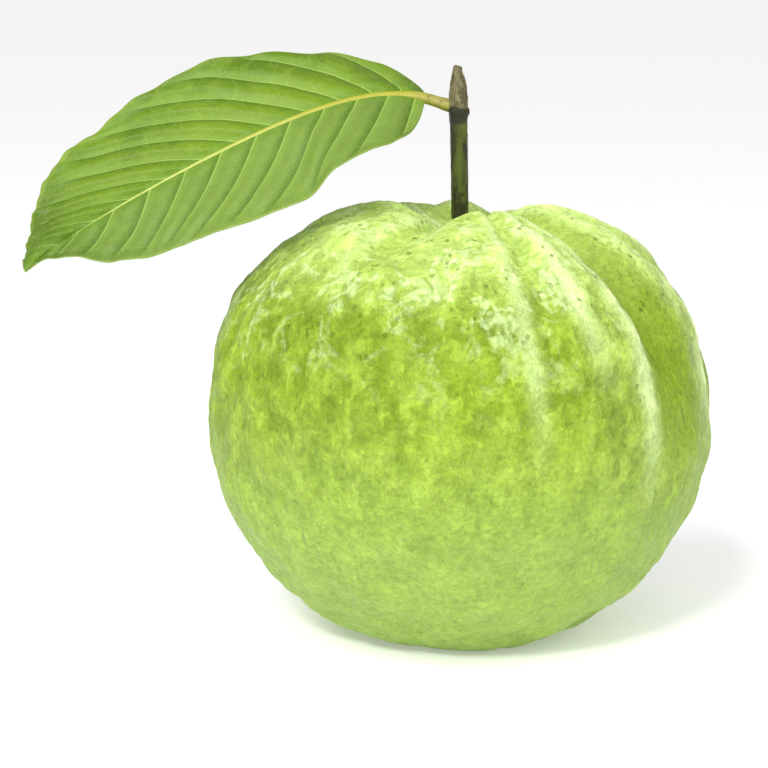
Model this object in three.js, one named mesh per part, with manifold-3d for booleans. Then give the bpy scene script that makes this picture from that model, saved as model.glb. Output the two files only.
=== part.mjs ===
// A guava as picked: the ribbed fruit, the twig it hung on, one leaf, and the dried calyx under it.
// Millimetres, +Z up. The fruit stands on its blossom end on the plane z = 0, and the origin is on
// that plane at the middle of the whole object's outline. Azimuths turn from the front (-Y) to +X.
import * as THREE from "three";
import { mergeVertices } from "three/addons/utils/BufferGeometryUtils.js";
import Module from "manifold-3d";

const wasm = await Module();
wasm.setup();

// The fruit's mean profile: two part-ellipses that meet at the widest point, a hollow and a basin
const fruit = {
  axisX: 19, // the fruit's axis, to the right of the origin
  radius: 50.1,
  equatorZ: 44.4, // height of the widest point
  crownRise: 43.2, // widest point to shoulders
  crownSquareness: 2.42,
  baseDrop: 48,
  baseSquareness: 2.02,
  hollowDepth: 8.4, // where the twig stands
  hollowRadius: 10,
  basinDepth: 7.4, // round the calyx
  basinRadius: 10.5,
  rows: 36,
  columns: 96,
};

// Furrows between the ribs: azimuth, depth, half-width, and the latitude where each one has run out
const furrows = [
  { at: -160, deep: 1.3, wide: 8, endsAt: 6 },
  { at: -124, deep: 3.4, wide: 7, endsAt: 10 },
  { at: -75, deep: 0.9, wide: 9, endsAt: 34 },
  { at: -31, deep: 0.9, wide: 9, endsAt: 40 },
  { at: 20, deep: 1.2, wide: 6, endsAt: 4 },
  { at: 37.5, deep: 2.1, wide: 7, endsAt: 22 },
  { at: 51, deep: 4.2, wide: 8, endsAt: -4 },
  { at: 82, deep: 3.0, wide: 7, endsAt: 0 },
  { at: 108, deep: 2.8, wide: 7, endsAt: 0 },
  { at: 131, deep: 1.8, wide: 6, endsAt: 14 },
  { at: 158, deep: 1.7, wide: 8, endsAt: -2 },
];
const furrowShape = {
  fade: 34, // degrees of latitude over which a furrow deepens to its full depth
  drift: 5, // degrees that a furrow turns between the widest point and the shoulder
  steepSide: 0.7, // its two sides, as shares of its half-width
  easySide: 1.4,
  sharpness: 1.6,
  deepest: 4.2,
  rise: 0.7, // how far the ribs beside the deepest furrow stand out
  ribAt: 1.9, // where they stand, and how wide, in half-widths of the furrow
  ribHalf: 0.7,
};
const baseFurrow = { share: 0.28, startsAt: 40, fullAt: 68 }; // degrees below the widest point

// How far the shoulders stand above or below their mean, by azimuth
const crown = [
  [-180, -0.4], [-162, -0.2], [-138, -1.4], [-90, 0.6], [-60, 0.5], [-31, -2.4],
  [10, 1.0], [30, 0.8], [85, 0.5], [120, -1.4], [148, -2.8], [180, -0.4],
];

const crownStarts = { latitude: [38, 66], outFromAxis: [3, 11] };

// Broad swellings of the whole body, and the uneven bumps of the rind, as sums of waves
const swelling = { size: 0.5, lobes: 3, turn: 35 };
const bumps = { waves: 7, size: 0.16, shortest: 11, longest: 21 };
const plainNearAxis = [2.5, 7]; // the relief starts between these distances from the axis
const plainNearTable = [0.5, 5]; // and the bumps between these heights

// The twig's end: a four-sided green shoot with a node, and a grey-brown broken end above it
const twig = {
  footX: -0.3, // beside the fruit's axis
  leanX: -0.7, // how far the top leans to the left
  sunk: 3, // depth of its foot in the fruit
  radius: 1.8,
  nodeZ: 104.8,
  nodeSwell: 0.25,
  nodeHalf: 1.6,
  barkRadius: 1.98,
  topZ: 113.2,
  topRadius: 0.8,
  squareness: 0.05,
  sides: 16,
  gap: 0.3,
};

// The leaf: its stalk and midrib run along one curve, given by the way it heads at each length
const leaf = {
  stalk: 4.2,
  stalkRadius: 1.05,
  blade: 87.8,
  halfWidth: 20.6,
  backHalf: { lean: 1, fullness: 0.46, taper: 0.42 },
  frontHalf: { lean: 0.73, fullness: 0.5, taper: 0.85 },
  thickness: 0.8,
  attachZ: 105.9,
  attachX: -3.3, // from the fruit's axis to the near end of the stalk
  headsUp: 17.5, // degrees above level at the twig
  headsDown: 27.9, // degrees below level along the blade
  bendsWithin: 13.9,
  bendStarts: 3.7,
  tipDroop: 11.7,
  forward: 4, // degrees that the leaf points forward
  faceElevation: 48, // the upper face looks forward and up
  veins: 11,
  crowding: 1.2,
  sweep: 0.21, // how far a side vein runs forward before the margin, as a share of the blade
  quilt: 0.5,
  midribRise: 0.75,
  midribHalf: 1.5,
};
// How far each half of the blade is folded up from flat, in degrees, at shares of the blade's length
const foldBack = [
  [0, -25], [0.1, -14], [0.2, -6], [0.33, 1], [0.45, 10],
  [0.6, 8], [0.72, 6], [0.82, 13.5], [0.9, 20], [1, -5],
];
const foldFront = [
  [0, -2], [0.08, 7.5], [0.16, 12], [0.25, 12], [0.35, 1], [0.45, 3],
  [0.6, 6], [0.72, 4.5], [0.82, 12], [0.9, 24], [1, 44],
];

// The dried calyx: a rim with sepals pressed flat into the basin
const calyx = {
  sepals: 5,
  reach: 7,
  notch: 3.8,
  thickness: 0.9,
  gap: 0.35,
  pitRadius: 2.4,
  pitDepth: 0.9,
  columns: 40,
};

const rad = THREE.MathUtils.degToRad;
const smooth = (from, to, x) => THREE.MathUtils.smoothstep(x, from, to);
const wrapped = (degrees) => ((((degrees + 180) % 360) + 360) % 360) - 180;

// A value read from [[x, y], ...] along a smooth curve
function along(stations, x) {
  let i = 0;
  while (i < stations.length - 2 && x > stations[i + 1][0]) i++;
  const [x0, y0] = stations[i];
  const [x1, y1] = stations[i + 1];
  return y0 + (y1 - y0) * smooth(x0, x1, x);
}

// A closed body from a grid of points, rows by columns; a row of one point is a pole
function bodyFromRings(rings) {
  const points = [];
  const starts = rings.map((ring) => {
    const start = points.length / 3;
    for (const p of ring) points.push(p.x, p.y, p.z);
    return start;
  });
  const faces = [];
  for (let r = 0; r + 1 < rings.length; r++) {
    const low = rings[r];
    const high = rings[r + 1];
    const n = Math.max(low.length, high.length);
    for (let c = 0; c < n; c++) {
      const next = (c + 1) % n;
      const a = starts[r] + (low.length > 1 ? c : 0);
      const b = starts[r] + (low.length > 1 ? next : 0);
      const d = starts[r + 1] + (high.length > 1 ? c : 0);
      const e = starts[r + 1] + (high.length > 1 ? next : 0);
      if (low.length > 1) faces.push(a, b, e);
      if (high.length > 1) faces.push(a, e, d);
    }
  }
  const geometry = new THREE.BufferGeometry();
  geometry.setAttribute("position", new THREE.Float32BufferAttribute(points, 3));
  geometry.setIndex(faces);
  return geometry;
}

// The rind's bumps at a point: waves that run in directions spread evenly over a sphere
function bumpAt(x, y, z) {
  let sum = 0;
  for (let k = 0; k < bumps.waves; k++) {
    const up = 1 - (2 * k + 1) / bumps.waves;
    const flat = Math.sqrt(1 - up * up);
    const turn = k * Math.PI * (3 - Math.sqrt(5));
    const share = k / (bumps.waves - 1);
    const length = bumps.shortest + (bumps.longest - bumps.shortest) * share;
    const run = x * flat * Math.cos(turn) + y * flat * Math.sin(turn) + z * up;
    sum += bumps.size * Math.sin((2 * Math.PI * run) / length + 1.7 * k);
  }
  return sum;
}

// The mean profile at a latitude: distance from the axis and height
function profileAt(latitude) {
  const c = Math.cos(rad(latitude));
  const part = (p) => Math.pow(Math.max(0, 1 - Math.pow(c, p)), 1 / p);
  const out = fruit.radius * c;
  if (latitude >= 0) {
    const hollow = fruit.hollowDepth * Math.exp(-((out / fruit.hollowRadius) ** 2));
    return [out, fruit.equatorZ + fruit.crownRise * part(fruit.crownSquareness) - hollow];
  }
  const basin = fruit.basinDepth * Math.exp(-((out / fruit.basinRadius) ** 2));
  return [out, fruit.equatorZ - fruit.baseDrop * part(fruit.baseSquareness) + basin];
}

// The ribs at a latitude and azimuth: the furrows cut in, and their flanks stand out a little
function ribAt(latitude, azimuth) {
  let cut = 0;
  let flank = 0;
  const drift = furrowShape.drift * (0.5 - Math.max(0, latitude) / 60);
  const below = baseFurrow.share * smooth(baseFurrow.startsAt, baseFurrow.fullAt, -latitude);
  for (const f of furrows) {
    const turn = wrapped(azimuth - f.at - drift);
    const side = turn < 0 ? furrowShape.steepSide : furrowShape.easySide;
    const away = Math.abs(turn) / (f.wide * side);
    const above = smooth(f.endsAt, f.endsAt + furrowShape.fade, latitude);
    const beside = (away - furrowShape.ribAt) / furrowShape.ribHalf;
    cut += f.deep * Math.exp(-Math.pow(away, furrowShape.sharpness)) * (above + below);
    flank += (f.deep / furrowShape.deepest) * Math.exp(-(beside ** 2)) * above;
  }
  return furrowShape.rise * Math.min(1, flank) - cut;
}

// A point of the rind, with the fruit's own axis at x = 0
function rindAt(latitude, azimuth) {
  const step = 0.2;
  const [out, z] = profileAt(latitude);
  const [outHigh, zHigh] = profileAt(Math.min(90, latitude + step));
  const [outLow, zLow] = profileAt(Math.max(-90, latitude - step));
  const slope = Math.hypot(outHigh - outLow, zHigh - zLow) || 1;
  const normalOut = (zHigh - zLow) / slope;
  const normalZ = (outLow - outHigh) / slope;
  const x = out * Math.sin(rad(azimuth));
  const y = -out * Math.cos(rad(azimuth));
  const offAxis = smooth(...plainNearAxis, out);
  const offTable = smooth(...plainNearTable, z);
  const lobe = Math.cos(rad(swelling.lobes * (azimuth - swelling.turn)));
  const swell = swelling.size * lobe * Math.cos(rad(latitude));
  const onCrown = smooth(...crownStarts.latitude, latitude) * smooth(...crownStarts.outFromAxis, out);
  const shoulder = along(crown, wrapped(azimuth)) * onCrown;
  const lift = offAxis * (swell + bumpAt(x, y, z) * offTable + ribAt(latitude, azimuth));
  const reach = out + normalOut * lift;
  return new THREE.Vector3(
    reach * Math.sin(rad(azimuth)),
    -reach * Math.cos(rad(azimuth)),
    Math.max(0, z + shoulder + normalZ * lift), // pressed flat where it meets the table
  );
}

// Latitudes spaced evenly along the profile from the centre of the basin to the rim of the socket
function evenLatitudes(rows, endRadius) {
  const fine = [];
  let length = 0;
  let last = profileAt(-90);
  for (let latitude = -90; latitude <= 90; latitude += 0.25) {
    const here = profileAt(latitude);
    if (latitude > 0 && here[0] < endRadius) break;
    length += Math.hypot(here[0] - last[0], here[1] - last[1]);
    fine.push([length, latitude]);
    last = here;
  }
  const found = [];
  for (let r = 1; r <= rows; r++) {
    const want = (length * r) / rows;
    const at = Math.min(fine.length - 1, fine.findIndex((f) => f[0] >= want - 1e-9));
    found.push(fine[at][1]);
  }
  return found;
}

const socketRadius = twig.radius + twig.gap + 0.15;
const hollowFloorZ = rindAt(89.9, 0).z;

function fruitGeometry() {
  const ringAt = (latitude) =>
    Array.from({ length: fruit.columns }, (_, c) => rindAt(latitude, (360 * c) / fruit.columns));
  const rings = evenLatitudes(fruit.rows, socketRadius + 0.4).map(ringAt);
  const socketRing = (z) =>
    Array.from({ length: fruit.columns }, (_, c) => {
      const turn = rad((360 * c) / fruit.columns);
      const x = twig.footX + socketRadius * Math.sin(turn);
      return new THREE.Vector3(x, -socketRadius * Math.cos(turn), z);
    });
  const socketFloorZ = hollowFloorZ - twig.sunk - twig.gap;
  return bodyFromRings([
    [rindAt(-90, 0)],
    ...rings,
    socketRing(hollowFloorZ - 0.1),
    socketRing(socketFloorZ),
    [new THREE.Vector3(twig.footX, 0, socketFloorZ)],
  ]);
}

function twigGeometry() {
  const footZ = hollowFloorZ - twig.sunk;
  const barkZ = twig.nodeZ + 0.4;
  const radiusAt = (z) => {
    const node = twig.nodeSwell * Math.exp(-(((z - twig.nodeZ) / twig.nodeHalf) ** 2));
    const taper = Math.pow(THREE.MathUtils.clamp((z - barkZ) / (twig.topZ - barkZ), 0, 1), 2.2);
    const shoot = twig.radius + node;
    const bark = THREE.MathUtils.lerp(twig.barkRadius, twig.topRadius, taper);
    return THREE.MathUtils.lerp(shoot, bark, smooth(barkZ - 0.4, barkZ + 0.4, z));
  };
  const heights = [];
  for (let z = footZ; z < twig.nodeZ - 3; z += 4) heights.push(z);
  for (let z = twig.nodeZ - 3; z < barkZ + 1; z += 0.6) heights.push(z);
  for (let z = barkZ + 1.2; z <= twig.topZ + 0.01; z += 1.2) heights.push(z);
  const centreX = (z) => twig.footX + (twig.leanX * (z - footZ)) / (twig.topZ - footZ);
  const ringAt = (z, shrink) =>
    Array.from({ length: twig.sides }, (_, c) => {
      const turn = (2 * Math.PI * c) / twig.sides;
      const square = 1 + twig.squareness * Math.cos(4 * turn + Math.PI);
      const r = radiusAt(z) * square * shrink;
      return new THREE.Vector3(centreX(z) + r * Math.sin(turn), -r * Math.cos(turn), z);
    });
  const rings = heights.map((z) => ringAt(z, 1));
  const brokenEnd = ringAt(heights.at(-1), 0.62);
  for (const p of brokenEnd) p.z += 0.45 + 0.16 * p.x;
  return bodyFromRings([
    [new THREE.Vector3(twig.footX, 0, footZ)],
    ...rings,
    brokenEnd,
    [new THREE.Vector3(centreX(twig.topZ), 0, heights.at(-1) + 0.4)],
  ]);
}

// The midrib's points and its frame every half millimetre, from the twig to the leaf's tip
function midribLine() {
  const step = 0.5;
  const forward = rad(leaf.forward);
  const tilt = rad(leaf.faceElevation);
  const face = new THREE.Vector3(0, -Math.cos(tilt), Math.sin(tilt));
  const total = leaf.stalk + leaf.blade;
  const at = new THREE.Vector3(leaf.attachX, 0, leaf.attachZ);
  const line = [];
  for (let s = 0; s <= total + step / 2; s += step) {
    const turned = Math.exp(-Math.max(0, s - leaf.bendStarts) / leaf.bendsWithin);
    const droop = leaf.tipDroop * (s / total) ** 5;
    const down = rad(leaf.headsDown - (leaf.headsDown + leaf.headsUp) * turned + droop);
    const heading = new THREE.Vector3(-Math.cos(forward), -Math.sin(forward), -Math.tan(down)).normalize();
    const normal = face.clone().addScaledVector(heading, -face.dot(heading)).normalize();
    const across = heading.clone().cross(normal);
    line.push({ at: at.clone(), normal, across });
    at.addScaledVector(heading, step);
  }
  return (s) => {
    const place = THREE.MathUtils.clamp(s / step, 0, line.length - 1.001);
    const i = Math.floor(place);
    const mix = (key) => line[i][key].clone().lerp(line[i + 1][key], place - i);
    return { at: mix("at"), normal: mix("normal").normalize(), across: mix("across").normalize() };
  };
}
const midrib = midribLine();

// Half the blade's width at a share of its length; the front half has the fuller base
function halfWidthAt(share, front) {
  const half = front ? leaf.frontHalf : leaf.backHalf;
  const wave = Math.sin(Math.PI * Math.pow(Math.min(0.999, share), half.lean));
  const tip = 1 - half.taper * smooth(0.8, 1, share);
  return Math.max(0.9, leaf.halfWidth * tip * Math.pow(wave, half.fullness));
}

// A point of the blade: t runs along the midrib, v from the midrib (0) to the margin (1), out from
// the middle of its thickness. Lines of equal t follow the side veins, which crowd near the base.
function bladeAt(t, v, front, face) {
  const u = Math.pow(t, leaf.crowding);
  const margin = u + leaf.sweep * Math.sin(Math.PI * u);
  const share = u + (margin - u) * Math.pow(v, 1.35);
  const width = Math.min(v * halfWidthAt(margin, front), halfWidthAt(share, front));
  const { at, normal, across } = midrib(leaf.stalk + leaf.blade * share);
  const fold = rad(along(front ? foldFront : foldBack, share)) * smooth(0, 0.3, v);
  const side = front ? -1 : 1;
  const out = across.clone().multiplyScalar(side * Math.cos(fold));
  out.addScaledVector(normal, Math.sin(fold));
  const up = normal.clone().multiplyScalar(Math.cos(fold));
  up.addScaledVector(across, -side * Math.sin(fold));
  const phase = t * (leaf.veins + 1) + (front ? 0.5 : 0);
  const middle = smooth(0, 0.16, v) * (1 - smooth(0.8, 1, v));
  const ends = smooth(0, 0.06, u) * (1 - smooth(0.92, 1, u));
  const quilt = leaf.quilt * Math.pow(Math.abs(Math.sin(Math.PI * phase)), 0.7) * middle * ends;
  const rib = leaf.midribRise * (1 - 0.75 * share) * Math.exp(-((width / leaf.midribHalf) ** 2));
  const height = face > 0 ? leaf.thickness / 2 : -leaf.thickness / 2 - rib;
  return at.addScaledVector(out, width).addScaledVector(up, quilt + height);
}

function bladeGeometry() {
  const rows = 4 * (leaf.veins + 1);
  const steps = [0, 0.05, 0.16, 0.38, 0.6, 0.82, 1];
  const columns = [...steps.slice(1).reverse().map((v) => [v, true]), ...steps.map((v) => [v, false])];
  const points = [];
  const faces = [];
  const width = columns.length;
  const index = (row, column, face) => (row * width + column) * 2 + (face > 0 ? 0 : 1);
  for (let row = 0; row <= rows; row++)
    for (const [v, front] of columns)
      for (const face of [1, -1]) {
        const p = bladeAt(row / rows, v, front, face);
        points.push(p.x, p.y, p.z);
      }
  const quad = (a, b, c, d) => faces.push(a, b, c, a, c, d);
  // The strip of the rim between two neighbouring points, from the face given to the other one
  const rim = (from, to, face) => quad(from(face), to(face), to(-face), from(-face));
  for (let row = 0; row < rows; row++)
    for (let column = 0; column + 1 < width; column++) {
      const corners = [[0, 0], [0, 1], [1, 1], [1, 0]];
      const [a, b, c, d] = corners.map(([r, s]) => index(row + r, column + s, 1));
      const [e, f, g, h] = corners.map(([r, s]) => index(row + r, column + s, -1));
      faces.push(a, b, c, a, c, d);
      faces.push(e, g, f, e, h, g);
    }
  const at = (row, column) => (face) => index(row, column, face);
  for (let row = 0; row < rows; row++) {
    rim(at(row, 0), at(row + 1, 0), 1);
    rim(at(row, width - 1), at(row + 1, width - 1), -1);
  }
  for (let column = 0; column + 1 < width; column++) {
    rim(at(0, column + 1), at(0, column), 1);
    rim(at(rows, column), at(rows, column + 1), 1);
  }
  const geometry = new THREE.BufferGeometry();
  geometry.setAttribute("position", new THREE.Float32BufferAttribute(points, 3));
  geometry.setIndex(faces);
  return geometry;
}

// The stalk, from just clear of the twig to a point well inside the midrib
function stalkGeometry() {
  const sides = 10;
  const sunkTo = leaf.stalk + 7;
  const ringAt = (s, shrink) => {
    const frame = midrib(s);
    const flare = 1 + 0.2 * Math.exp(-s / 0.9);
    const slim = THREE.MathUtils.lerp(1, 0.55, smooth(leaf.stalk, sunkTo, s));
    const sink = THREE.MathUtils.lerp(0, 0.5, smooth(leaf.stalk - 1, leaf.stalk + 2, s));
    return Array.from({ length: sides }, (_, c) => {
      const turn = (-2 * Math.PI * c) / sides;
      const r = leaf.stalkRadius * flare * slim * shrink;
      return frame.at
        .clone()
        .addScaledVector(frame.across, r * Math.cos(turn))
        .addScaledVector(frame.normal, r * Math.sin(turn) - sink);
    });
  };
  const lengths = [];
  for (let s = 0; s <= sunkTo; s += 1.1) lengths.push(s);
  const rings = lengths.map((s) => ringAt(s, 1));
  const centre = (ring) => ring.reduce((sum, p) => sum.add(p), new THREE.Vector3()).divideScalar(ring.length);
  return bodyFromRings([[centre(rings[0])], ...rings, [centre(rings.at(-1))]]);
}

// The calyx lies against the basin: its upper face keeps a small gap to the rind
function calyxGeometry() {
  const rows = 5;
  const reachAt = (azimuth) => {
    const lobe = Math.abs(Math.cos(rad((calyx.sepals * azimuth) / 2)));
    return calyx.notch + (calyx.reach - calyx.notch) * Math.pow(lobe, 0.7);
  };
  const pointAt = (share, azimuth, face) => {
    const out = share * reachAt(azimuth);
    const latitude = -THREE.MathUtils.radToDeg(Math.acos(Math.min(1, out / fruit.radius)));
    const rind = rindAt(latitude, azimuth);
    const pit = calyx.pitDepth * (1 - smooth(0, calyx.pitRadius, out));
    const thick = calyx.thickness - 0.35 * share - pit * 0.6;
    const z = rind.z - calyx.gap - (face < 0 ? thick : 0);
    return new THREE.Vector3(out * Math.sin(rad(azimuth)), -out * Math.cos(rad(azimuth)), z);
  };
  const ring = (share, face) =>
    Array.from({ length: calyx.columns }, (_, c) => pointAt(share, (360 * c) / calyx.columns, face));
  const shares = Array.from({ length: rows }, (_, r) => (r + 1) / rows);
  return bodyFromRings([
    [pointAt(0, 0, -1)],
    ...shares.map((share) => ring(share, -1)),
    ...shares.toReversed().map((share) => ring(share, 1)),
    [pointAt(0, 0, 1)],
  ]);
}

// Two closed bodies joined into one
function joined(first, second) {
  const solid = (geometry) => {
    const bare = geometry.clone();
    bare.deleteAttribute("normal");
    bare.deleteAttribute("uv");
    const merged = mergeVertices(bare, 1e-4);
    return new wasm.Manifold(
      new wasm.Mesh({
        numProp: 3,
        vertProperties: merged.attributes.position.array,
        triVerts: new Uint32Array(merged.index.array),
      }),
    );
  };
  const mesh = solid(first).add(solid(second)).getMesh();
  const geometry = new THREE.BufferGeometry();
  geometry.setAttribute("position", new THREE.BufferAttribute(mesh.vertProperties, 3));
  geometry.setIndex(new THREE.BufferAttribute(mesh.triVerts, 1));
  return geometry;
}

const materials = {
  rind: new THREE.MeshStandardMaterial({ color: 0xa9cf52, roughness: 0.35 }),
  twig: new THREE.MeshStandardMaterial({ color: 0x4f6b22, roughness: 0.75 }),
  leaf: new THREE.MeshStandardMaterial({ color: 0x86ad45, roughness: 0.5 }),
  calyx: new THREE.MeshStandardMaterial({ color: 0x6b5a34, roughness: 0.85 }),
};

function piece(name, geometry, material) {
  geometry.computeVertexNormals();
  const mesh = new THREE.Mesh(geometry, material);
  mesh.name = name;
  return mesh;
}

const guava = new THREE.Group();
guava.position.x = fruit.axisX;
guava.add(piece("fruit", fruitGeometry(), materials.rind));
guava.add(piece("twig", twigGeometry(), materials.twig));
guava.add(piece("leaf", joined(bladeGeometry(), stalkGeometry()), materials.leaf));
guava.add(piece("calyx", calyxGeometry(), materials.calyx));

export default guava;
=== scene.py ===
import math
import bpy
import numpy as np
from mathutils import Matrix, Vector, noise


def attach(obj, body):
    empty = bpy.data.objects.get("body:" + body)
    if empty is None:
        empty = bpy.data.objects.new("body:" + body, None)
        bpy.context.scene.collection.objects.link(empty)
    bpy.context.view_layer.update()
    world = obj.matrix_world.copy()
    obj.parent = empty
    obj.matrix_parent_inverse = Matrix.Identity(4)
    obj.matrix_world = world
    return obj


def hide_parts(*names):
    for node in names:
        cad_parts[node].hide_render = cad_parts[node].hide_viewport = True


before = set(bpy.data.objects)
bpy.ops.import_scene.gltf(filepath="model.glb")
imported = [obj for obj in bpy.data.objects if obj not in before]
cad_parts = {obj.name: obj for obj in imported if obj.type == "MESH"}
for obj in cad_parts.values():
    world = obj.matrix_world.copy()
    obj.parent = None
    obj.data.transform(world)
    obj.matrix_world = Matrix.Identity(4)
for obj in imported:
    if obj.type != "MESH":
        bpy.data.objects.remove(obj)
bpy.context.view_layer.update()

mm = 0.001
goldenTurn = math.pi * (3 - math.sqrt(5))
print("frame loaded:", len(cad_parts), "nodes")


# Small tools for curves, meshes and node trees

def smoothStep(low, high, x):
    t = np.clip((np.asarray(x, float) - low) / (high - low), 0, 1)
    return t * t * (3 - 2 * t)


def readStations(stations, x):  # a smooth curve through (place, value) pairs
    places = np.array([s[0] for s in stations], float)
    values = np.array([s[1] for s in stations], float)
    x = np.asarray(x, float)
    i = np.clip(np.searchsorted(places, x, side="right") - 1, 0, len(places) - 2)
    return values[i] + (values[i + 1] - values[i]) * smoothStep(places[i], places[i + 1], x)


def wrapTurn(degrees):
    return (np.asarray(degrees, float) + 180) % 360 - 180


def evenDirection(k, count):  # the k-th of count directions spread evenly over a sphere
    up = 1 - (2 * k + 1) / count
    flat = math.sqrt(1 - up * up)
    return np.array([flat * math.cos(k * goldenTurn), flat * math.sin(k * goldenTurn), up])


def lumpy(points, size, octaves, offset):  # soft noise about zero, features of that size in mm
    shift = Vector((offset, -offset, offset * 0.5))
    return np.array([noise.fractal(Vector(p) / size + shift, 0.9, 2.1, octaves) for p in points.tolist()])


def quadGrid(rows, columns, wraps=True, first=0):
    r = np.arange(rows - 1)[:, None]
    c = np.arange(columns if wraps else columns - 1)[None, :]
    a = first + r * columns + c
    b = first + r * columns + (c + 1) % columns
    return np.stack([a, b, b + columns, a + columns], -1).reshape(-1, 4).tolist()


def closeEnds(faces, sides, firstRing, lastRing, bottom, top):  # fans from the two end points
    for c in range(sides):
        n = (c + 1) % sides
        faces.append((bottom, firstRing + n, firstRing + c))
        faces.append((top, lastRing + c, lastRing + n))


def addPiece(name, points, faces, material, nodes, marks=None):
    mesh = bpy.data.meshes.new(name)
    mesh.from_pydata((np.asarray(points) * mm).tolist(), [], faces)
    mesh.validate()
    mesh.shade_smooth()
    for label, values in (marks or {}).items():
        layer = mesh.attributes.new(label, "FLOAT", "POINT")
        layer.data.foreach_set("value", np.asarray(values, np.float32))
    mesh.materials.append(material)
    piece = bpy.data.objects.new(name, mesh)
    bpy.context.scene.collection.objects.link(piece)
    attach(piece, "root")
    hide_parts(*nodes)
    print("made", name, len(mesh.polygons), "faces")


def colour(red, green, blue):  # picture values 0 to 255, turned to linear light
    return tuple(((c / 255 + 0.055) / 1.055) ** 2.4 for c in (red, green, blue)) + (1.0,)


def startMaterial(name):
    material = bpy.data.materials.new(name)
    material.use_nodes = True
    tree = material.node_tree
    return material, tree, tree.nodes["Principled BSDF"]


def put(tree, kind, inputs=None, **settings):
    item = tree.nodes.new(kind)
    for key, value in settings.items():
        setattr(item, key, value)
    for key, value in (inputs or {}).items():
        if isinstance(value, bpy.types.NodeSocket):
            tree.links.new(value, item.inputs[key])
        else:
            item.inputs[key].default_value = value
    return item


def objectPlace(tree):
    return put(tree, "ShaderNodeTexCoord").outputs["Object"]


def vectorMath(tree, operation, a, b):
    return put(tree, "ShaderNodeVectorMath", {0: a, 1: b}, operation=operation).outputs[0]


def stretched(tree, place, upward):  # heights counted at that share, which draws a pattern out upward
    return put(tree, "ShaderNodeMapping", {"Vector": place, "Scale": (1, 1, upward)}).outputs[0]


def noiseMap(tree, place, size, detail=3.0, rough=0.55, warp=0.0, shift=0.0):  # size and shift in mm
    moved = vectorMath(tree, "ADD", place, (shift * mm,) * 3)
    return put(tree, "ShaderNodeTexNoise", {
        "Vector": moved, "Scale": 1 / (size * mm), "Detail": detail, "Roughness": rough, "Distortion": warp,
    }).outputs["Fac"]


def wobbled(tree, place, size, amount):  # places pushed about by noise, both in mm
    push = put(tree, "ShaderNodeTexNoise", {"Vector": place, "Scale": 1 / (size * mm), "Detail": 2.0})
    push = vectorMath(tree, "SUBTRACT", push.outputs["Color"], (0.5, 0.5, 0.5))
    push = vectorMath(tree, "MULTIPLY", push, (amount * mm,) * 3)
    return vectorMath(tree, "ADD", place, push)


def cellMap(tree, place, size, feature="F1"):
    cells = put(tree, "ShaderNodeTexVoronoi", {"Vector": place, "Scale": 1 / (size * mm)}, feature=feature)
    return cells.outputs["Distance"]


def between(tree, value, low, high):  # 0 below low, 1 above high, smooth between
    return put(tree, "ShaderNodeMapRange", {
        "Value": value, "From Min": low, "From Max": high, "To Min": 0.0, "To Max": 1.0,
    }, interpolation_type="SMOOTHSTEP").outputs["Result"]


def spread(tree, value, low, high, toLow, toHigh):
    return put(tree, "ShaderNodeMapRange", {
        "Value": value, "From Min": low, "From Max": high, "To Min": toLow, "To Max": toHigh,
    }).outputs["Result"]


def reckon(tree, operation, a, b=0.0):
    return put(tree, "ShaderNodeMath", {0: a, 1: b}, operation=operation).outputs[0]


def times(tree, a, b):
    return reckon(tree, "MULTIPLY", a, b)


def blendColour(tree, share, first, second, mode="MIX"):
    item = put(tree, "ShaderNodeMix", {0: share, 6: first, 7: second}, data_type="RGBA", blend_type=mode)
    return item.outputs[2]


def twoTone(tree, share, first, second):  # from one paint to the other
    return blendColour(tree, share, colour(*first), colour(*second))


def tint(tree, base, paint, share, amount=1.0):  # lays a paint over the base where the share says
    return blendColour(tree, times(tree, share, amount), base, colour(*paint))


def mark(tree, label):
    return put(tree, "ShaderNodeAttribute", attribute_name=label).outputs["Fac"]


def finishBump(tree, shader, height, depth, strength=1.0):
    bump = put(tree, "ShaderNodeBump", {"Height": height, "Distance": depth * mm, "Strength": strength})
    tree.links.new(bump.outputs["Normal"], shader.inputs["Normal"])


def setShader(shader, **values):
    for key, value in values.items():
        shader.inputs[key.replace("_", " ")].default_value = value


# The fruit

fruit = {
    "axisX": 19, "radius": 50.1, "equatorZ": 44.4,
    "crownRise": 43.2, "crownSquareness": 2.42,
    "baseDrop": 48, "baseSquareness": 2.02,
    "hollowDepth": 8.4, "hollowRadius": 10,
    "basinDepth": 7.4, "basinRadius": 10.5,
    "rows": 216, "columns": 440,
    "lumpSize": 4.9, "lumpHeight": 0.43,
    "grainSize": 2.1, "grainHeight": 0.34,
    "settle": 0.34, "under": 0.13,  # the lumpy rind is let down, and its tops stay under the plain shape
    "grainPatch": 24, "grainShare": (0.55, 0.45),  # the grain comes and goes over patches of that size
    "reliefStarts": (2, 12),  # mm from the axis
    "stretch": 0.7,  # the fine relief runs a little longer up and down than round
    "stemShift": 0.3, "stemStain": (2.1, 3.6), "stemStainShare": 0.8,  # browner round the twig
    "blossomStain": (6.0, 9.5), "blossomStainShare": 0.45,  # and round the calyx
}
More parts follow.
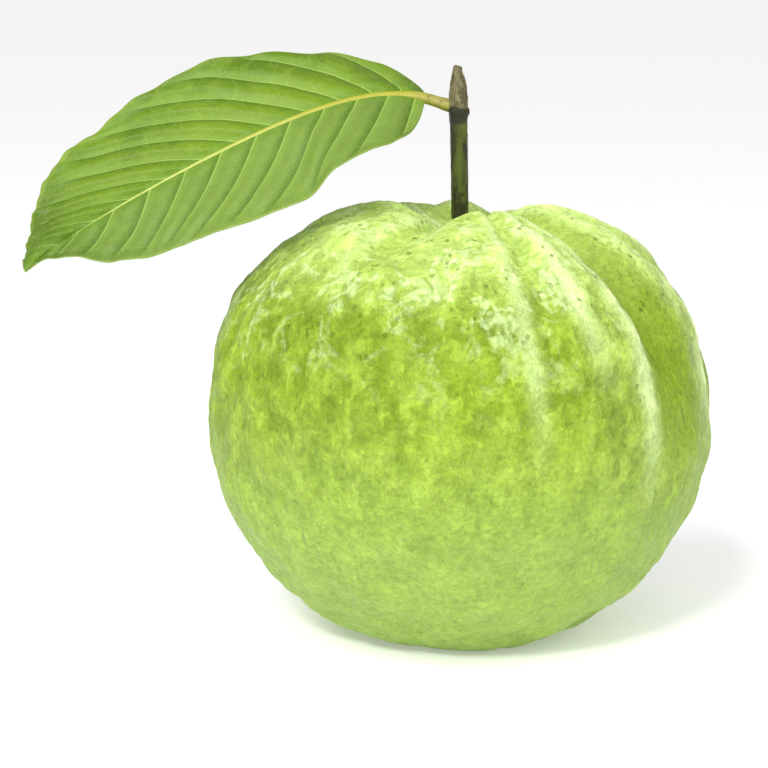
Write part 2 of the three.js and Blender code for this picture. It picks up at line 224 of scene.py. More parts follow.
# azimuth, depth, half-width in degrees, latitude where it has run out
furrows = [
    (-160, 1.3, 8, 6), (-124, 3.4, 7, 10), (-75, 0.9, 9, 34), (-31, 0.9, 9, 40),
    (20, 1.2, 6, 4), (37.5, 2.1, 7, 22), (51, 4.2, 8, -4), (82, 3.0, 7, 0),
    (108, 2.8, 7, 0), (131, 1.8, 6, 14), (158, 1.7, 8, -2),
]
furrowShape = {
    "fade": 34, "drift": 5, "steepSide": 0.7, "easySide": 1.4, "sharpness": 1.6,
    "deepest": 4.2, "rise": 0.7, "ribAt": 1.9, "ribHalf": 0.7,
    "rimAt": 1.55, "rimHalf": 0.55, "rimFullDepth": 3, "farRim": 0.25,  # painted highlight on the rims, weak on the easy side
    "shadeWide": 1.15, "shadeSharpness": 1.8,
    "tintDrop": 15,  # the painted shade of the furrows and the painted highlight of the ribs run on that many degrees below them
}
baseFurrow = {"share": 0.28, "startsAt": 40, "fullAt": 68}
crown = [
    (-180, -0.4), (-162, -0.2), (-138, -1.4), (-90, 0.6), (-60, 0.5), (-31, -2.4),
    (10, 1.0), (30, 0.8), (85, 0.5), (120, -1.4), (148, -2.8), (180, -0.4),
]
crownStarts = {"latitude": (38, 66), "outFromAxis": (3, 11)}
swelling = {"size": 0.5, "lobes": 3, "turn": 35}
bumps = {"waves": 7, "size": 0.16, "shortest": 11, "longest": 21}
plainNearAxis, plainNearTable = (2.5, 7), (0.5, 5)


def profileAt(latitude):  # the mean profile: distance from the axis, and height
    cosine = np.cos(np.radians(latitude))
    out = fruit["radius"] * cosine
    rise = np.maximum(0, 1 - cosine ** fruit["crownSquareness"]) ** (1 / fruit["crownSquareness"])
    drop = np.maximum(0, 1 - cosine ** fruit["baseSquareness"]) ** (1 / fruit["baseSquareness"])
    hollow = fruit["hollowDepth"] * np.exp(-(out / fruit["hollowRadius"]) ** 2)
    basin = fruit["basinDepth"] * np.exp(-(out / fruit["basinRadius"]) ** 2)
    above = fruit["equatorZ"] + fruit["crownRise"] * rise - hollow
    below = fruit["equatorZ"] - fruit["baseDrop"] * drop + basin
    return out, np.where(latitude >= 0, above, below)


def furrowAt(latitude, azimuth):  # the furrows' cut, swollen flanks, painted highlight on the steep rims and painted shade
    cut = np.zeros(np.broadcast(latitude, azimuth).shape)
    flank, rim, shade = np.zeros(cut.shape), np.zeros(cut.shape), np.zeros(cut.shape)
    drift = furrowShape["drift"] * (0.5 - np.maximum(0, latitude) / 60)
    below = baseFurrow["share"] * smoothStep(baseFurrow["startsAt"], baseFurrow["fullAt"], -latitude)
    for at, deep, wide, endsAt in furrows:
        turn = wrapTurn(azimuth - at - drift)
        side = np.where(turn < 0, furrowShape["steepSide"], furrowShape["easySide"])
        away = np.abs(turn) / (wide * side)
        above = smoothStep(endsAt, endsAt + furrowShape["fade"], latitude)
        cut += deep * np.exp(-away ** furrowShape["sharpness"]) * (above + below)
        beside = (away - furrowShape["ribAt"]) / furrowShape["ribHalf"]
        flank += deep / furrowShape["deepest"] * np.exp(-beside ** 2) * above
        tintEnd = endsAt - furrowShape["tintDrop"]
        stained = smoothStep(tintEnd, tintEnd + furrowShape["fade"], latitude)
        onRim = np.exp(-((away - furrowShape["rimAt"]) / furrowShape["rimHalf"]) ** 2)
        # the painted highlight is strong on the furrow's left side, where the light falls
        oneSided = np.where(turn < 0, 1, furrowShape["farRim"])
        rim += np.minimum(1, deep / furrowShape["rimFullDepth"]) * onRim * oneSided * stained
        inside = np.exp(-(away / furrowShape["shadeWide"]) ** furrowShape["shadeSharpness"])
        shade += (deep / furrowShape["deepest"]) ** 2 * inside * stained
    return cut, np.minimum(1, flank), np.minimum(1, rim), np.minimum(1, shade)


def bumpAt(x, y, z):
    total = 0
    for k in range(bumps["waves"]):
        run = np.stack([x, y, z], -1) @ evenDirection(k, bumps["waves"])
        length = bumps["shortest"] + (bumps["longest"] - bumps["shortest"]) * k / (bumps["waves"] - 1)
        total = total + bumps["size"] * np.sin(2 * math.pi * run / length + 1.7 * k)
    return total


def rindAt(latitude, azimuth, fine=True):  # points of the rind, its axis at x = 0
    latitude, azimuth = np.broadcast_arrays(np.asarray(latitude, float), np.asarray(azimuth, float))
    out, z = profileAt(latitude)
    outHigh, zHigh = profileAt(np.minimum(90, latitude + 0.2))
    outLow, zLow = profileAt(np.maximum(-90, latitude - 0.2))
    slope = np.hypot(outHigh - outLow, zHigh - zLow) + 1e-9
    normalOut, normalZ = (zHigh - zLow) / slope, (outLow - outHigh) / slope
    turn = np.radians(azimuth)
    x, y = out * np.sin(turn), -out * np.cos(turn)
    offAxis, offTable = smoothStep(*plainNearAxis, out), smoothStep(*plainNearTable, z)
    swell = swelling["size"] * np.cos(np.radians(swelling["lobes"] * (azimuth - swelling["turn"])))
    onCrown = smoothStep(*crownStarts["latitude"], latitude) * smoothStep(*crownStarts["outFromAxis"], out)
    shoulder = readStations(crown, wrapTurn(azimuth)) * onCrown
    furrow, flank, rim, shade = furrowAt(latitude, azimuth)
    ribs = furrowShape["rise"] * flank - furrow
    lift = offAxis * (swell * np.cos(np.radians(latitude)) + bumpAt(x, y, z) * offTable + ribs)
    relief = np.zeros(latitude.shape)
    if fine:
        flatPoints = np.stack([x, y, z * fruit["stretch"]], -1).reshape(-1, 3)
        lumps = lumpy(flatPoints, fruit["lumpSize"], 2, 3.1).reshape(latitude.shape)
        grain = lumpy(flatPoints, fruit["grainSize"], 2, 8.7).reshape(latitude.shape)
        patch = lumpy(flatPoints, fruit["grainPatch"], 1, 1.3).reshape(latitude.shape)
        least, more = fruit["grainShare"]
        patch = least + more * smoothStep(-0.3, 0.4, patch)
        relief = fruit["lumpHeight"] * lumps + fruit["grainHeight"] * grain * patch
        lowered = np.minimum(relief - fruit["settle"], -fruit["under"])
        lift = lift + lowered * offTable * smoothStep(*fruit["reliefStarts"], out)
    reach = out + normalOut * lift
    height = np.maximum(0, z + shoulder + normalZ * lift)
    return np.stack([reach * np.sin(turn), -reach * np.cos(turn), height], -1), shade, rim, relief


def evenLatitudes(rows):
    fine = np.arange(-90, 90.01, 0.1)
    out, z = profileAt(fine)
    length = np.concatenate([[0], np.cumsum(np.hypot(np.diff(out), np.diff(z)))])
    return np.interp(np.linspace(0, length[-1], rows + 2)[1:-1], length, fine)


rindPaint = {
    # the paler crown, the pale rib rims, the whitish sheen patches, the paler low part and the pale bump
    # tops are painted light; the darker dips and furrows are painted shade
    "base": (118, 144, 8), "fresh": (135, 161, 13), "pale": (178, 206, 68), "deep": (114, 138, 6),
    "bumpTopLight": (182, 208, 70), "hollow": (116, 142, 8), "crown": (216, 240, 134), "ribHighlight": (240, 254, 190),
    "furrowTintAndShade": (130, 156, 20), "paleSheen": (230, 248, 190), "low": (168, 197, 102), "pit": (96, 116, 16),
    "darkGrain": (56, 68, 24), "lightGrain": (214, 224, 196), "ends": (112, 108, 52),
    # sizes of the patterns in mm
    "patchSize": 22, "paleSize": 3.3, "deepSize": 4.2, "paleSheenSize": 8, "gritSize": 1.6,
    "pitSize": 2, "pitPatchSize": 7, "grainSize": 1.1, "glossSize": 2.6, "dentSize": 2.9,
    "drawnUp": 0.75,  # less draws them out further upward
    # heights in metres over which each tint changes
    "topLightRises": (0.067, 0.084), "paleSheenRises": (0.050, 0.078), "bounceLightFalls": (0.058, 0.018),
    "pitsRise": (0.035, 0.070), "furrowShadeRises": (0.060, 0.082),
    # how strongly each tint covers, in pairs from dull to pale skin or from low to high
    "paleShare": 0.5, "deepShare": 0.42, "bumpTopLightShare": 0.55, "dipShadeShare": 0.45, "bounceLightShare": 0.62,
    "topLightShare": (0.52, 0.88), "ribHighlightShare": (0.6, 1.0), "furrowShadeShare": (0.85, 0.5),
    "paleSheenPatches": (0.05, 0.68), "pitsFade": (0.25, 1.0), "grainShare": 0.27, "pitShare": 0.55,
    "rough": (0.38, 0.62), "gloss": 0.3, "glow": 0.12, "glowReach": 1.2, "dentDepth": 0.9,  # last two in mm
}


def mottledSkinAndBumpShading(tree, place, tall, relief):  # two greens in broad patches, with pale and deep mottles, painted light on the bump tops and painted shade in the dips
    broad = between(tree, noiseMap(tree, place, rindPaint["patchSize"], 2, 0.5, 0.4), 0.36, 0.66)
    skin = twoTone(tree, broad, rindPaint["base"], rindPaint["fresh"])
    pale = between(tree, noiseMap(tree, tall, rindPaint["paleSize"], 5, 0.64, 0.6, 40), 0.47, 0.60)
    skin = tint(tree, skin, rindPaint["pale"], pale, rindPaint["paleShare"])
    deep = between(tree, noiseMap(tree, tall, rindPaint["deepSize"], 5, 0.64, 0.8, 90), 0.49, 0.62)
    skin = tint(tree, skin, rindPaint["deep"], deep, rindPaint["deepShare"])
    # painted light on the tops of the relief and painted shade in its dips
    bumpTopLight = spread(tree, relief, -0.2, 0.5, 0.0, rindPaint["bumpTopLightShare"])
    skin = tint(tree, skin, rindPaint["bumpTopLight"], bumpTopLight)
    skin = tint(tree, skin, rindPaint["hollow"], between(tree, relief, 0.0, -0.35), rindPaint["dipShadeShare"])
    return skin, pale


def crownAndRibLightShade(tree, skin, height, furrowTintAndShade, rim, pale):  # painted light and shade: a crown painted paler as if lit from above, a painted highlight on the ribs, and furrows painted darker and greener
    # painted top light: the crown is painted paler, as if lit from above
    upper = between(tree, height, *rindPaint["topLightRises"])
    skin = tint(tree, skin, rindPaint["crown"], upper, spread(tree, pale, 0, 1, *rindPaint["topLightShare"]))
    # painted highlight along the rib rims
    skin = tint(tree, skin, rindPaint["ribHighlight"], rim, spread(tree, pale, 0, 1, *rindPaint["ribHighlightShare"]))
    # furrows tinted greener and painted darker, partly painted shade
    sunk = between(tree, furrowTintAndShade, 0.05, 0.7)
    amount = spread(tree, height, *rindPaint["furrowShadeRises"], *rindPaint["furrowShadeShare"])
    return tint(tree, skin, rindPaint["furrowTintAndShade"], sunk, amount)


def paleSheenShare(tree, place, tall, height, furrowTintAndShade, rim):  # pale skin and painted sheen in broken patches, most on the shoulders and the ribs
    island = between(tree, noiseMap(tree, place, rindPaint["paleSheenSize"], 4, 0.6, 0.8, 7), 0.49, 0.60)
    grit = between(tree, noiseMap(tree, tall, rindPaint["gritSize"], 4, 0.6, 0.4, 33), 0.36, 0.64)
    shoulder = between(tree, height, *rindPaint["paleSheenRises"])
    crest = times(tree, rim, spread(tree, island, 0, 1, 0.7, 1.0))
    crest = times(tree, crest, spread(tree, shoulder, 0, 1, 0.5, 1.0))
    crest = times(tree, crest, spread(tree, grit, 0, 1, 0.55, 1.0))
    patches = times(tree, island, spread(tree, shoulder, 0, 1, *rindPaint["paleSheenPatches"]))
    paleSheen = reckon(tree, "MAXIMUM", times(tree, patches, grit), crest)
    return times(tree, paleSheen, between(tree, furrowTintAndShade, 0.5, 0.1))


def pitShare(tree, place, tall, height):  # small dark pits in patches, fainter low down
    patches = between(tree, noiseMap(tree, place, rindPaint["pitPatchSize"], 3, 0.6, 0, 15), 0.44, 0.60)
    pits = between(tree, cellMap(tree, wobbled(tree, tall, 1.3, 0.9), rindPaint["pitSize"]), 0.26, 0.10)
    pits = times(tree, pits, patches)
    return times(tree, pits, spread(tree, height, *rindPaint["pitsRise"], *rindPaint["pitsFade"]))


def rindMaterial():
    material, tree, shader = startMaterial("guavaRind")
    place = objectPlace(tree)
    tall = stretched(tree, place, rindPaint["drawnUp"])
    height = put(tree, "ShaderNodeSeparateXYZ", {0: place}).outputs["Z"]
    # the furrows' tint and painted shade, and the painted highlight along their rims
    furrowTintAndShade, rim = mark(tree, "furrowTintAndShade"), mark(tree, "rim")
    skin, pale = mottledSkinAndBumpShading(tree, place, tall, mark(tree, "relief"))
    skin = crownAndRibLightShade(tree, skin, height, furrowTintAndShade, rim, pale)
    # whitish patches, partly pale skin and partly painted sheen
    skin = tint(tree, skin, rindPaint["paleSheen"], paleSheenShare(tree, place, tall, height, furrowTintAndShade, rim))
    # painted bounce light from the pale floor: the low part is painted paler and greyer
    low = between(tree, height, *rindPaint["bounceLightFalls"])
    skin = tint(tree, skin, rindPaint["low"], low, rindPaint["bounceLightShare"])
    granules = noiseMap(tree, place, rindPaint["grainSize"], 5, 0.76, 0.3)
    grain = spread(tree, granules, 0.36, 0.64, 0.0, 1.0)
    grain = twoTone(tree, grain, rindPaint["darkGrain"], rindPaint["lightGrain"])
    skin = blendColour(tree, rindPaint["grainShare"], skin, grain, "OVERLAY")
    pits = pitShare(tree, place, tall, height)
    skin = tint(tree, skin, rindPaint["pit"], pits, rindPaint["pitShare"])
    skin = tint(tree, skin, rindPaint["ends"], mark(tree, "ends"))
    tree.links.new(skin, shader.inputs["Base Color"])
    dull = noiseMap(tree, place, rindPaint["glossSize"], 4, 0.6, 0, 60)
    tree.links.new(spread(tree, dull, 0.3, 0.7, *rindPaint["rough"]), shader.inputs["Roughness"])
    setShader(shader, Specular_IOR_Level=rindPaint["gloss"])
    setShader(shader, Subsurface_Weight=rindPaint["glow"], Subsurface_Radius=(1.0, 1.0, 0.4))
    setShader(shader, Subsurface_Scale=rindPaint["glowReach"] * mm)
    rise = times(tree, noiseMap(tree, tall, rindPaint["dentSize"], 4, 0.62, 0.3, 25), 1.5)
    rise = reckon(tree, "ADD", rise, times(tree, granules, 0.35))
    rise = reckon(tree, "SUBTRACT", rise, times(tree, pits, 0.4))
    finishBump(tree, shader, rise, rindPaint["dentDepth"])
    return material


def makeFruit():
    rows, columns = fruit["rows"], fruit["columns"]
    latitudes = evenLatitudes(rows)
    azimuths = np.arange(columns) * 360 / columns
    grid, shade, rim, relief = rindAt(latitudes[:, None], azimuths[None, :])
    below, above = rindAt([-90.0], [0.0], False)[0], rindAt([90.0], [0.0], False)[0]
    points = np.concatenate([below, grid.reshape(-1, 3), above])
    points[:, 0] += fruit["axisX"]
    faces = quadGrid(rows, columns, True, 1)
    last = len(points) - 1
    closeEnds(faces, columns, 1, last - columns, 0, last)

    def full(values):  # the grid's values with one for each pole
        return np.concatenate([[values[0].mean()], values.reshape(-1), [values[-1].mean()]])

    out = np.hypot(points[:, 0] - fruit["axisX"] + fruit["stemShift"], points[:, 1])
    top = points[:, 2] > fruit["equatorZ"]
    stemEnd = np.where(top, 1 - smoothStep(*fruit["stemStain"], out), 0) * fruit["stemStainShare"]
    blossomEnd = np.where(top, 0, 1 - smoothStep(*fruit["blossomStain"], out)) * fruit["blossomStainShare"]
    # the furrows' tint and painted shade and the painted highlight on their rims go to the rind's material
    marks = {
        "furrowTintAndShade": full(shade), "rim": full(rim), "relief": full(relief),
        "ends": np.maximum(stemEnd, blossomEnd),
    }
    addPiece("guavaFruit", points, faces, rindMaterial(), ["fruit"], marks)


makeFruit()


# The twig

twig = {
    "footX": -0.3, "leanX": -0.7, "sunk": 3, "radius": 1.8,
    "nodeZ": 104.8, "nodeSwell": 0.25, "nodeHalf": 1.6,
    "barkRadius": 1.98, "barkStarts": 0.4, "topZ": 113.2, "topRadius": 0.8, "squareness": 0.05,
    "ringBelow": 2.7, "ringAbove": 0.5, "ringShare": 0.92,  # the dark ring, up and down from the node
    "slant": 0.35, "slantTurn": 1.9,  # the bark's lower edge runs a little aslant
    "ridgeSize": 0.75, "ridgeHeight": (0.05, 0.11),  # on the green, and what the bark adds
    "knobSize": 1.5, "knobHeight": (0.04, 0.07, 0.12),  # the same, and what the dark ring adds
    "scarTurn": 90, "scarHalf": 34, "scarHigh": 0.75, "scarLift": 0.3,  # where the other leaf fell off
    "endSteps": [(0.86, 0.2), (0.6, 0.34), (0.3, 0.3)],  # share of the radius, and height, on the broken end
    "endSlant": 0.22, "endRough": 0.09,
    "sides": 96, "rows": 300,
}
twigPaint = {
    "shade": (52, 60, 6), "green": (78, 90, 16), "stain": (34, 34, 10), "ring": (30, 32, 10),
    "darkBark": (74, 67, 42), "bark": (124, 117, 85), "fleck": (50, 52, 28),
    # sizes of the patterns in mm, the streaks longer for a smaller drawnOut
    "streakSize": 1.4, "stainSize": 2.2, "fibreSize": 0.9, "drawnOut": 0.28, "fleckSize": 0.8,
    "crackSize": 0.5, "cracksDrawnOut": 0.16, "grainSize": 0.3, "crackDepth": 0.16,
    "stainShare": 0.85, "fleckShare": 0.7,
    "rough": (0.5, 0.88), "gloss": 0.35,  # rough on the green and on the bark
}
hollowFloorZ = float(rindAt([89.9], [0.0], False)[0][0, 2])


def twigRadius(z):
    barkZ = twig["nodeZ"] + twig["barkStarts"]
    node = twig["nodeSwell"] * np.exp(-((z - twig["nodeZ"]) / twig["nodeHalf"]) ** 2)
    taper = np.clip((z - barkZ) / (twig["topZ"] - barkZ), 0, 1) ** 2.2
    bark = twig["barkRadius"] + (twig["topRadius"] - twig["barkRadius"]) * taper
    share = smoothStep(barkZ - 0.4, barkZ + 0.4, z)
    return (twig["radius"] + node) * (1 - share) + bark * share


def twigMaterial():
    material, tree, shader = startMaterial("guavaTwig")
    place = objectPlace(tree)
    bark, ring = mark(tree, "bark"), mark(tree, "nodeRing")
    along = stretched(tree, place, twigPaint["drawnOut"])
    streaks = between(tree, noiseMap(tree, along, twigPaint["streakSize"], 4, 0.6), 0.35, 0.68)
    green = twoTone(tree, streaks, twigPaint["shade"], twigPaint["green"])
    stain = between(tree, noiseMap(tree, along, twigPaint["stainSize"], 4, 0.62, 0.8, 31), 0.47, 0.53)
    green = tint(tree, green, twigPaint["stain"], stain, twigPaint["stainShare"])
    fibres = between(tree, noiseMap(tree, along, twigPaint["fibreSize"], 5, 0.68), 0.32, 0.68)
    grey = twoTone(tree, fibres, twigPaint["darkBark"], twigPaint["bark"])
    fleck = between(tree, cellMap(tree, place, twigPaint["fleckSize"]), 0.36, 0.18)
    grey = tint(tree, grey, twigPaint["fleck"], fleck, twigPaint["fleckShare"])
    both = blendColour(tree, bark, green, grey)
    both = tint(tree, both, twigPaint["ring"], ring)
    tree.links.new(both, shader.inputs["Base Color"])
    tree.links.new(spread(tree, bark, 0, 1, *twigPaint["rough"]), shader.inputs["Roughness"])
    setShader(shader, Specular_IOR_Level=twigPaint["gloss"])
    split = stretched(tree, place, twigPaint["cracksDrawnOut"])
    cracks = noiseMap(tree, split, twigPaint["crackSize"], 4, 0.65)
    grain = noiseMap(tree, place, twigPaint["grainSize"], 3, 0.6)
    rise = reckon(tree, "ADD", cracks, times(tree, grain, 0.4))
    finishBump(tree, shader, rise, twigPaint["crackDepth"], 0.7)
    return material


def twigLift(x, y, z, turn, bark, ring):  # ridges and knobs of the bark, and the scar
    ridges = lumpy(np.stack([x, y, z * 0.3], -1).reshape(-1, 3), twig["ridgeSize"], 3, 4.4).reshape(x.shape)
    knobs = lumpy(np.stack([x, y, z], -1).reshape(-1, 3), twig["knobSize"], 2, 9.9).reshape(x.shape)
    aside = (np.degrees(turn) - twig["scarTurn"]) / twig["scarHalf"]
    aloft = (z - twig["nodeZ"] + 0.2) / twig["scarHigh"]
    scar = twig["scarLift"] * np.exp(-aside ** 2 - aloft ** 2)
    onGreen, onBark = twig["ridgeHeight"]
    ridges = ridges * (onGreen + onBark * bark)
    onGreen, onBark, onRing = twig["knobHeight"]
    knobs = knobs * (onGreen + onBark * bark + onRing * ring)
    return ridges + knobs + scar


def brokenEnd(rim):  # smaller and smaller rings that close the top, rough and aslant
    rings = []
    for k, (shrink, up) in enumerate(twig["endSteps"]):
        cap = rim.copy()
        middle = cap.mean(0)
        cap[:, :2] = middle[:2] + (cap[:, :2] - middle[:2]) * shrink
        rough = lumpy(cap + np.array([0, 0, 5.0 * k]), 0.5, 2, 2.2)
        cap[:, 2] = twig["topZ"] + up - twig["endSlant"] * (cap[:, 0] - middle[0]) + twig["endRough"] * rough
        rings.append(cap)
    return np.array(rings)


def makeTwig():
    sides, footZ = twig["sides"], hollowFloorZ - twig["sunk"]
    z = np.linspace(footZ, twig["topZ"], twig["rows"])[:, None]
    turn = (np.arange(sides) * 2 * math.pi / sides)[None, :]
    centreX = twig["footX"] + twig["leanX"] * (z - footZ) / (twig["topZ"] - footZ)
    radius = twigRadius(z) * (1 + twig["squareness"] * np.cos(4 * turn + math.pi))
    slant = twig["slant"] * np.cos(turn - twig["slantTurn"])
    barkZ = twig["nodeZ"] + twig["barkStarts"]
    bark = smoothStep(barkZ - 0.5, barkZ + 0.7, z + slant) * np.ones_like(turn)
    ringLow, ringHigh = twig["nodeZ"] - twig["ringBelow"], twig["nodeZ"] + twig["ringAbove"]
    ring = smoothStep(ringLow - 0.5, ringLow + 0.7, z - 1.1 * slant)
    ring = ring * (1 - smoothStep(ringHigh - 0.3, ringHigh + 0.3, z + slant))
    x, y = radius * np.sin(turn), -radius * np.cos(turn)
    height = np.broadcast_to(z, x.shape)
    factor = 1 + twigLift(x, y, height, turn, bark, ring) / np.maximum(radius, 0.4)
    points = np.stack([centreX + x * factor, y * factor, height + 0 * x], -1)
    tops = brokenEnd(points[-1])
    rings = np.concatenate([points, tops])
    everything = np.concatenate([rings.reshape(-1, 3), [[twig["footX"], 0, footZ]], [rings[-1].mean(0)]])
    everything[:, 0] += fruit["axisX"]
    faces = quadGrid(len(rings), sides)
    closeEnds(faces, sides, 0, (len(rings) - 1) * sides, len(everything) - 2, len(everything) - 1)
    capCount = len(tops) * sides

    def full(values, end):  # the rows' values, then those of the broken end, the foot and the tip
        return np.concatenate([values.reshape(-1), np.full(capCount, end), [values[0, 0]], [end]])

    marks = {"bark": full(bark, 1.0), "nodeRing": full(ring * twig["ringShare"], 0.0)}
    addPiece("guavaTwig", everything, faces, twigMaterial(), ["twig"], marks)


makeTwig()


# The leaf

leaf = {
    "stalk": 4.2, "stalkRadius": 1.14, "blade": 87.8, "tipTrim": 0.15, "halfWidth": 20.6, "leastHalf": 0.9,
    "backHalf": (1.0, 0.46, 0.42), "frontHalf": (0.73, 0.5, 0.85),  # lean, fullness, taper
    "attachZ": 105.9, "attachX": -3.3,
    "headsUp": 17.5, "headsDown": 27.9, "bendsWithin": 13.9, "bendStarts": 3.7, "tipDroop": 11.7,
    "forward": 4, "faceElevation": 48,
    "veins": 11, "crowding": 1.2, "quilt": 0.5,
    "backSweep": 0.85, "frontSweep": 0.5, "sweepsWithin": 0.27,  # shares of the blade ahead of a vein
    "waver": (0.22, 47), "fineWaver": (0.12, 113),  # size and rate of the margin's unevenness
    "thickness": 0.34, "rows": 312, "halfColumns": 54,
}
foldBack = [
    (0, -25), (0.1, -14), (0.2, -6), (0.33, 1), (0.45, 10),
    (0.6, 8), (0.72, 6), (0.82, 13.5), (0.9, 20), (1, -5),
]
foldFront = [
    (0, -2), (0.08, 7.5), (0.16, 12), (0.25, 12), (0.35, 1), (0.45, 3),
    (0.6, 6), (0.72, 4.5), (0.82, 12), (0.9, 24), (1, 44),
]


def midribLine():
    step = 0.25
    total = leaf["stalk"] + leaf["blade"]
    s = np.arange(0, total + step / 2, step)
    turned = np.exp(-np.maximum(0, s - leaf["bendStarts"]) / leaf["bendsWithin"])
    down = leaf["headsDown"] - (leaf["headsDown"] + leaf["headsUp"]) * turned
    down = np.radians(down + leaf["tipDroop"] * (s / total) ** 5)
    forward, tilt = math.radians(leaf["forward"]), math.radians(leaf["faceElevation"])
    level = np.cos(down)
    along = np.stack([-level * math.cos(forward), -level * math.sin(forward), -np.sin(down)], -1)
    run = np.concatenate([np.zeros((1, 3)), np.cumsum(along[:-1] * step, 0)])
    at = np.array([leaf["attachX"], 0, leaf["attachZ"]]) + run
    face = np.array([0, -math.cos(tilt), math.sin(tilt)])
    normal = face - (along @ face)[:, None] * along
    normal /= np.linalg.norm(normal, axis=1)[:, None]
    return s, at, along, normal, np.cross(along, normal)


lineS, lineAt, lineAlong, lineNormal, lineAcross = midribLine()


def onLine(values, s):
    return np.stack([np.interp(s, lineS, values[:, k]) for k in range(3)], -1)


def halfWidthAt(share, front):
    lean, fullness, taper = leaf["frontHalf" if front else "backHalf"]
    wave = np.sin(math.pi * np.minimum(0.999, share) ** lean)
    full = leaf["halfWidth"] * (1 - taper * smoothStep(0.8, 1, share))
    return np.maximum(leaf["leastHalf"], full * np.maximum(0, wave) ** fullness)


def bladeAt(t, v, front, face):  # t runs along the midrib, v from it to the margin
    u = t ** leaf["crowding"]
    sweep = leaf["frontSweep" if front else "backSweep"] * (1 - np.exp(-u / leaf["sweepsWithin"]))
    margin = u + (1 - u) * sweep
    share = u + (margin - u) * (0.65 * v + 0.35 * v ** 3)
    width = np.minimum(v * halfWidthAt(margin, front), halfWidthAt(share, front))
    s = leaf["stalk"] + (leaf["blade"] - leaf["tipTrim"]) * share
    at, normal, across = onLine(lineAt, s), onLine(lineNormal, s), onLine(lineAcross, s)
    fold = np.radians(readStations(foldFront if front else foldBack, share)) * smoothStep(0, 0.3, v)
    side = -1 if front else 1
    out = across * (side * np.cos(fold))[..., None] + normal * np.sin(fold)[..., None]
    up = normal * np.cos(fold)[..., None] - across * (side * np.sin(fold))[..., None]
    phase = t * (leaf["veins"] + 1) + (0.5 if front else 0) + 0 * v
    middle = smoothStep(0, 0.16, v) * (1 - smoothStep(0.8, 1, v))
    ends = smoothStep(0, 0.06, u) * (1 - smoothStep(0.92, 1, u))
    quilt = leaf["quilt"] * np.abs(np.sin(math.pi * phase)) ** 0.7 * middle * ends
    # the blade thins to its margin, and its edge wavers a little
    thick = leaf["thickness"] * (1 - 0.45 * smoothStep(0.7, 1, v))
    (broad, slow), (fine, fast) = leaf["waver"], leaf["fineWaver"]
    waver = broad * np.sin(slow * t + (2.1 if front else 0)) * smoothStep(0.75, 1, v)
    waver = (waver + fine * np.sin(fast * t) * smoothStep(0.85, 1, v)) * ends
    lift = quilt + face * thick / 2
    spot = at + out * (width + waver * 0.7)[..., None] + up * (lift + waver)[..., None]
    return spot, phase, s, width * side


leafPaint = {
    "base": (82, 112, 10), "fresh": (101, 131, 18), "sunny": (124, 152, 14), "front": (108, 135, 60),
    "blotch": (122, 151, 48), "shade": (66, 98, 10), "glow": (132, 164, 68), "nearRib": (88, 126, 16),
    "tip": (66, 90, 14), "fineNet": (140, 170, 76), "net": (140, 168, 74), "vein": (152, 180, 84),
    "under": (148, 172, 108), "underVein": (188, 198, 128), "margin": (160, 188, 84),
    # sizes of the patterns in mm
    "patchSize": 15, "blotchSize": 2.6, "netSize": 2.6, "fineNetSize": 0.9, "dentSize": 1.6,
    "panelWide": 5.2, "veinHalf": (0.15, 0.06),  # a side vein's half-width by the midrib and at the margin
    # how strongly each tint covers
    "sunnyShare": 0.4, "frontSheenShare": 0.75, "blotchShare": 0.35, "shadeShare": 0.72, "panelLightShare": 0.35,
    "nearRibShare": 0.45, "tipShare": 0.55, "fineNetShare": 0.10, "netShare": 0.16, "veinShare": 0.7,
    "underShare": 0.6, "underVeinShare": 0.5, "marginShare": 0.35,
    "rough": (0.46, 0.6), "underRougher": 0.2, "gloss": 0.28, "reliefDepth": 0.10,
}


def veinLines(tree, fromVein, across):  # fine pale lines on the side veins, thinner toward the margin
    away = times(tree, reckon(tree, "ABSOLUTE", fromVein), leafPaint["panelWide"])
    wide = spread(tree, across, 0, 1, *leafPaint["veinHalf"])
    vein = between(tree, reckon(tree, "DIVIDE", away, wide), 1.7, 0.6)
    ends = times(tree, between(tree, across, 1.0, 0.82), between(tree, across, 0.015, 0.04))
    return times(tree, vein, ends)


def twoHalves(tree, place, width, lengthway):  # green, sunnier by the midrib, the front half painted paler with a greyish sheen
    broad = between(tree, noiseMap(tree, place, leafPaint["patchSize"], 3, 0.55, 0.5), 0.35, 0.66)
    blade = twoTone(tree, broad, leafPaint["base"], leafPaint["fresh"])
    sunny = times(tree, between(tree, width, 0.014, 0.002), between(tree, lengthway, 0.006, 0.030))
    sunny = times(tree, sunny, between(tree, lengthway, 0.075, 0.045))
    blade = tint(tree, blade, leafPaint["sunny"], sunny, leafPaint["sunnyShare"])
    # painted sheen: the front half paler and greyer
    front = between(tree, width, 0.0008, -0.0012)
    return tint(tree, blade, leafPaint["front"], front, leafPaint["frontSheenShare"])


def panelTints(tree, blade, fromVein, across, width, lengthway, inside):
    # painted shade just past each side vein and painted light just before it, the shading of the quilted
    # panels
    tipward = times(tree, between(tree, fromVein, 0.0, 0.03), between(tree, fromVein, 0.34, 0.05))
    baseward = times(tree, between(tree, fromVein, 0.0, -0.05), between(tree, fromVein, -0.42, -0.08))
    blade = tint(tree, blade, leafPaint["shade"], times(tree, tipward, inside), leafPaint["shadeShare"])
    blade = tint(tree, blade, leafPaint["glow"], times(tree, baseward, inside), leafPaint["panelLightShare"])
    nearRib = between(tree, reckon(tree, "ABSOLUTE", width), 0.0036, 0.0006)
    blade = tint(tree, blade, leafPaint["nearRib"], nearRib, leafPaint["nearRibShare"])
    tip = times(tree, between(tree, lengthway, 0.068, 0.092), leafPaint["tipShare"])
    return tint(tree, blade, leafPaint["tip"], between(tree, across, 0.45, 0.95), tip)


